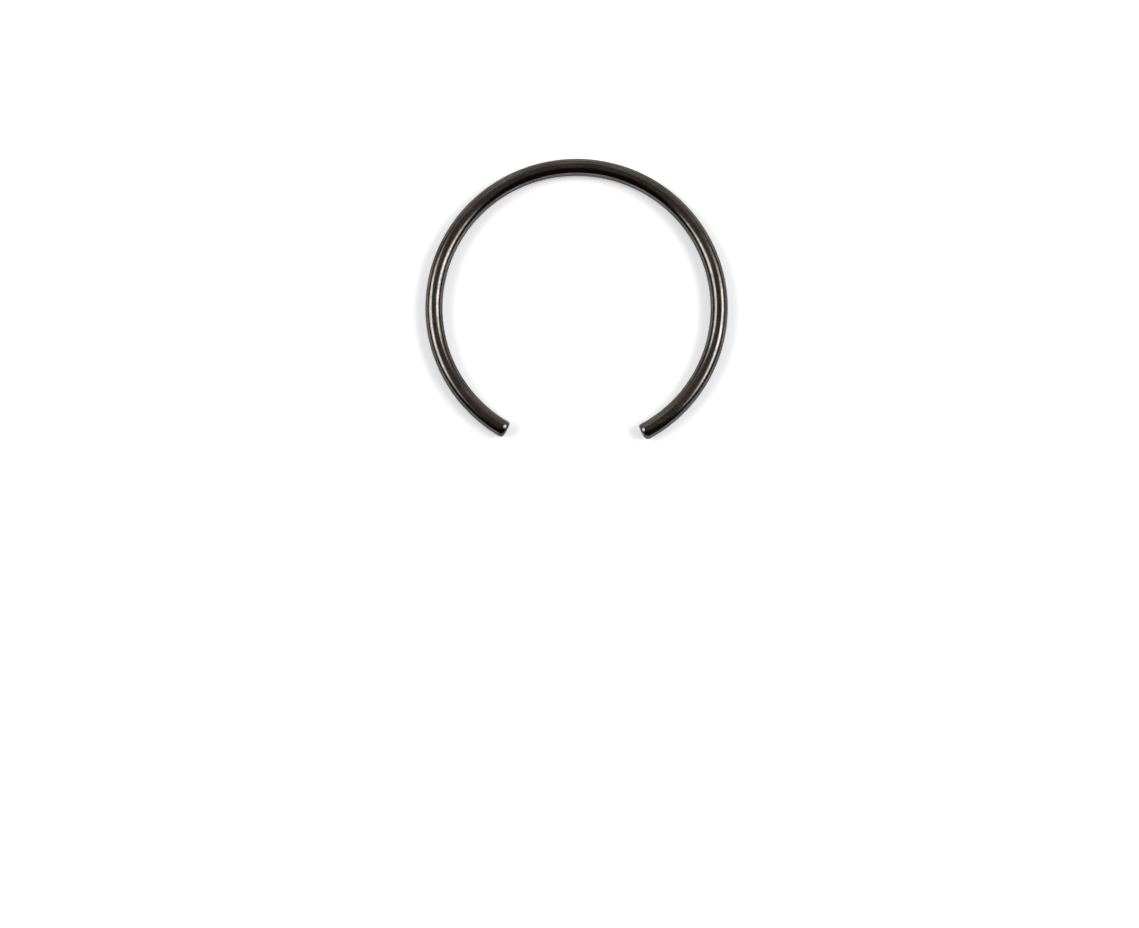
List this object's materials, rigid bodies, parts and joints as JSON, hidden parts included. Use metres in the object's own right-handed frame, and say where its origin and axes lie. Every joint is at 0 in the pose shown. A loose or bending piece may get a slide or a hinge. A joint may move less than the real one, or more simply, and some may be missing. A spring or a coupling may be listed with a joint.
{
  "type": "wire retaining ring",
  "caption": "Open ring of round spring wire with square-cut ends; snaps into a groove in a bore and stops a pin from sliding out.",
  "frame": {"origin": "on the ring's axis, in the plane through the middle of the wire: the centre of the groove that the ring sits in", "axes": "+Z along the ring's axis, -Y through the middle of the gap, so the ring is symmetric about X = 0"},
  "size_m": [0.0246, 0.0231, 0.0014],
  "materials": {
    "spring_steel": "semi-gloss black oxide on oil-tempered spring wire"
  },
  "bodies": {
    "root": {"retaining_ring": "spring_steel"}
  },
  "joints": []
}
